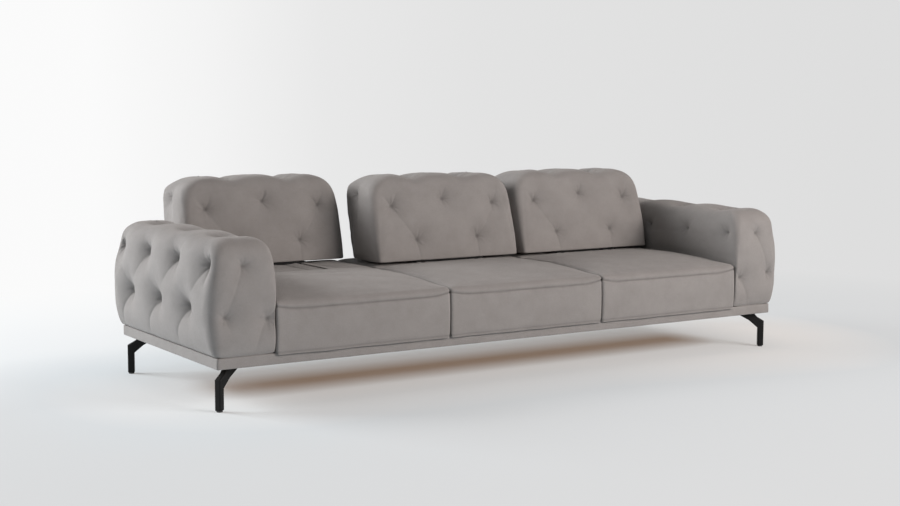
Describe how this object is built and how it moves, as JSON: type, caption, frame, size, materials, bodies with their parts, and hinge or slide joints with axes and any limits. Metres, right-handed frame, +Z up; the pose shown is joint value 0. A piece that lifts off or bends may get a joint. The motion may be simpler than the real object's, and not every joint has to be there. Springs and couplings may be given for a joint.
{
  "type": "sofa",
  "caption": "Long low sofa with diamond-tufted arms, sprung box seats and tufted back blocks that slide fore and aft, on a thin plinth with black strutted legs.",
  "frame": {"origin": "on the floor, at the middle of the outline seen from above with the left back slid to the rear", "axes": "+X along the sofa to a viewer's right, -Y out of the front, +Z up"},
  "size_m": [2.84, 1.1881, 0.807],
  "materials": {
    "upholstery": "matte",
    "dust_cloth": "matte",
    "felt": "matte",
    "zinc_steel": "satin",
    "glide_plastic": "matte",
    "black_metal": "satin",
    "timber": "matte"
  },
  "bodies": {
    "base": {"arm_bolts": "zinc_steel", "arm_frame_left": "timber", "arm_frame_right": "timber", "arm_pad_left": "upholstery", "arm_pad_right": "upholstery", "base_cross_rails": "timber", "base_end_rails": "timber", "base_front_rail": "timber", "base_rear_rail": "timber", "corner_blocks": "timber", "deck_bearer": "timber", "deck_board": "timber", "deck_dividers": "timber", "deck_pads": "upholstery", "dust_cover": "dust_cloth", "leg_front_left": "black_metal", "leg_front_right": "black_metal", "leg_glides": "glide_plastic", "leg_rear_left": "black_metal", "leg_rear_right": "black_metal", "leg_screws": "zinc_steel", "plinth_cover_front": "upholstery", "plinth_cover_left": "upholstery", "plinth_cover_rear": "upholstery", "plinth_cover_right": "upholstery", "rear_cover": "upholstery", "rear_panel": "timber", "seat_cushion_left": "upholstery", "seat_cushion_middle": "upholstery", "seat_cushion_right": "upholstery", "seat_front_rails": "timber", "seat_rear_rails": "timber", "seat_side_rails": "timber", "seat_springs": "zinc_steel", "slide_channels": "black_metal", "slide_screws": "zinc_steel", "slide_trays": "black_metal", "spring_clips": "zinc_steel", "spring_pads": "felt"},
    "back_left": {"back_pad_left": "upholstery", "back_base_left": "timber", "back_panel_left": "timber", "carriage_left": "black_metal", "back_bolts_left": "zinc_steel"},
    "link_left": {"slide_links_left": "zinc_steel"},
    "back_middle": {"back_pad_middle": "upholstery", "back_base_middle": "timber", "back_panel_middle": "timber", "carriage_middle": "black_metal", "back_bolts_middle": "zinc_steel"},
    "link_middle": {"slide_links_middle": "zinc_steel"},
    "back_right": {"back_pad_right": "upholstery", "back_base_right": "timber", "back_panel_right": "timber", "carriage_right": "black_metal", "back_bolts_right": "zinc_steel"},
    "link_right": {"slide_links_right": "zinc_steel"}
  },
  "joints": [
    {"name": "back_slide_left", "type": "slide", "parent": "base", "child": "back_left", "axis": [0, -1, 0], "range_m": [0, 0.245]},
    {"name": "link_slide_left", "type": "slide", "parent": "base", "child": "link_left", "axis": [0, -1, 0], "range_m": [0, 0.1225]},
    {"name": "back_slide_middle", "type": "slide", "parent": "base", "child": "back_middle", "axis": [0, 1, 0], "range_m": [0, 0.245]},
    {"name": "link_slide_middle", "type": "slide", "parent": "base", "child": "link_middle", "axis": [0, 1, 0], "range_m": [0, 0.1225]},
    {"name": "back_slide_right", "type": "slide", "parent": "base", "child": "back_right", "axis": [0, 1, 0], "range_m": [0, 0.245]},
    {"name": "link_slide_right", "type": "slide", "parent": "base", "child": "link_right", "axis": [0, 1, 0], "range_m": [0, 0.1225]}
  ],
  "couplings": [
    {"joint": "link_slide_left", "follows": "back_slide_left", "ratio": 0.5},
    {"joint": "link_slide_middle", "follows": "back_slide_middle", "ratio": 0.5},
    {"joint": "link_slide_right", "follows": "back_slide_right", "ratio": 0.5}
  ]
}
